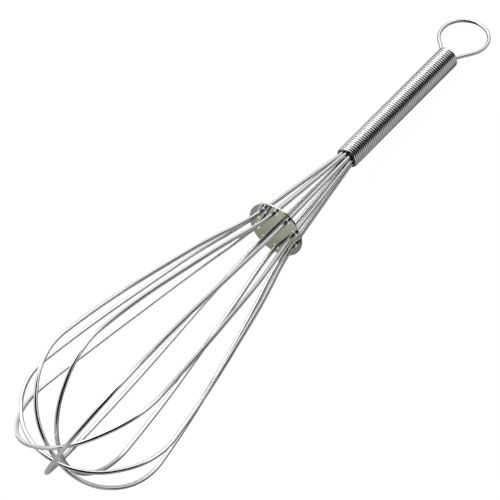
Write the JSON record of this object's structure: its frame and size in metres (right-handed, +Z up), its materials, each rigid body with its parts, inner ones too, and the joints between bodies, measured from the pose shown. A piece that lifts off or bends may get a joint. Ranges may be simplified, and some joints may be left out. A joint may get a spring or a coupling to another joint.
{
  "type": "balloon whisk",
  "caption": "Wire balloon whisk: sprung wire loops nested crown over crown, spread by a loose drilled disc, bound by a wound wire handle with a hanging loop.",
  "frame": {"origin": "centre of the bounding box's footprint, on the table that the whisk lies on", "axes": "+X runs from the balloon to the hanging loop along the table, +Z is up; the whisk's own axis rises from the handle's far end towards the balloon"},
  "size_m": [0.3048, 0.0658, 0.0631],
  "materials": {
    "loop_wire": "bright drawn stainless steel wire, polished",
    "disc_sheet": "polished stainless steel sheet with punched holes",
    "winding_wire": "bright drawn stainless steel wire, close wound",
    "hanger_wire": "bright drawn stainless steel wire, polished"
  },
  "bodies": {
    "whisk": {"wire_loop_1": "loop_wire", "wire_loop_2": "loop_wire", "wire_loop_3": "loop_wire", "wire_loop_4": "loop_wire", "wire_loop_5": "loop_wire", "handle_coil": "winding_wire", "hanging_loop": "hanger_wire"},
    "spreader": {"spreader_disc": "disc_sheet"}
  },
  "joints": [
    {"name": "spreader_slide", "type": "slide", "parent": "whisk", "child": "spreader", "axis": [-0.9948, 0, 0.1016], "range_m": [-0.003, 0.002]}
  ]
}
